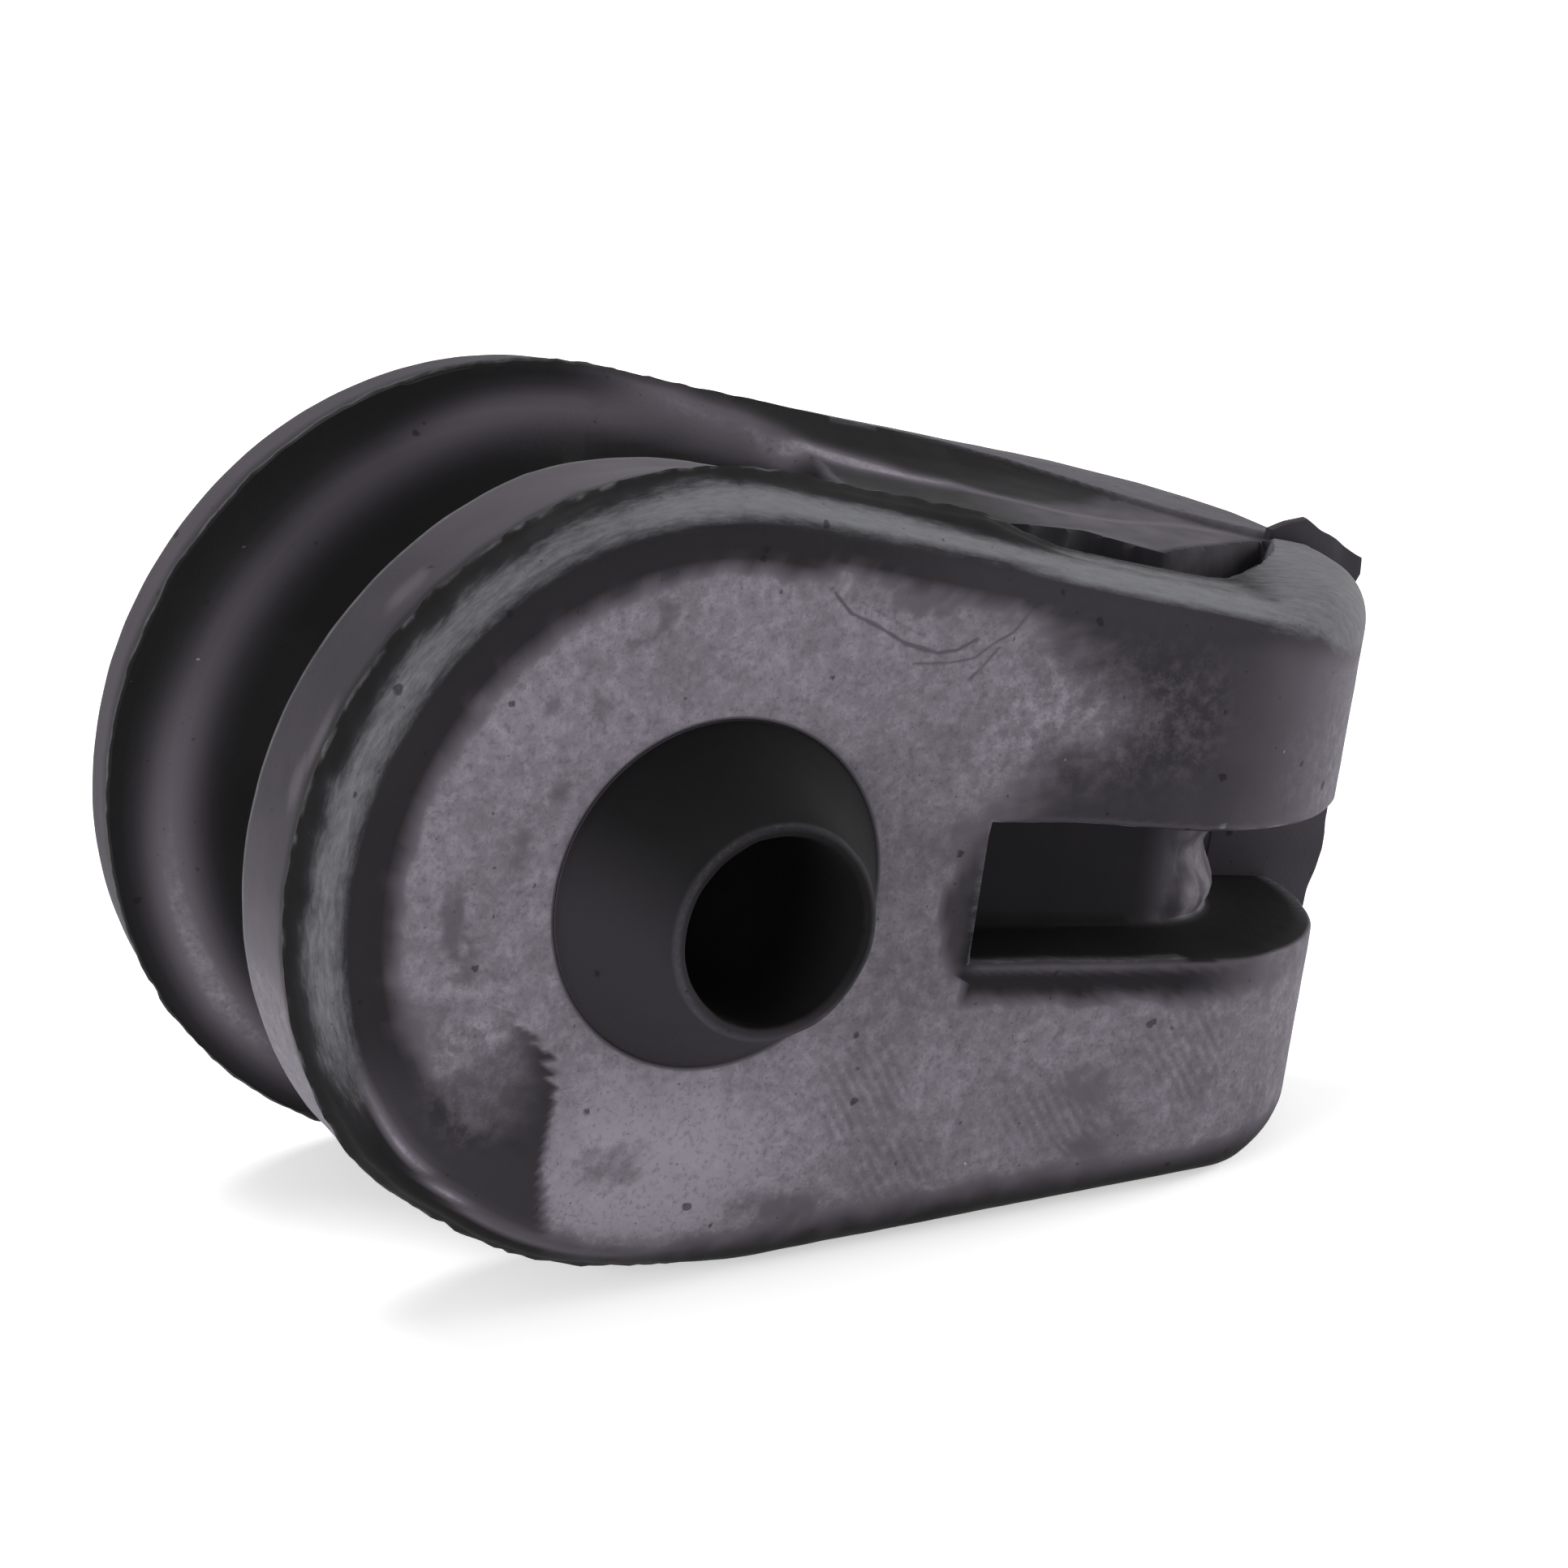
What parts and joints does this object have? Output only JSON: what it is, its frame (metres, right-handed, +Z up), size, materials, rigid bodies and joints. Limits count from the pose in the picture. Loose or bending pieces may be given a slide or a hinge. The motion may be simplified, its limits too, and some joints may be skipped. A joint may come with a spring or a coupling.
{
  "type": "exhaust bracket",
  "caption": "Moulded rubber exhaust hanger block: teardrop flanges with a groove round the end, a coned bore boss and a slot wrapping the nose.",
  "frame": {"origin": "centre of the bounding box at its bottom, on the surface the part lies on", "axes": "+X along the lower flank towards the slotted nose, +Y from the front face to the rear face along the bore, +Z up, with the part lying on its lower flank as pictured"},
  "size_m": [0.0854, 0.043, 0.0524],
  "materials": {
    "rubber": "matte black moulded rubber with a greyish bloom on the front face"
  },
  "bodies": {
    "root": {"rubber_body": "rubber"}
  },
  "joints": []
}
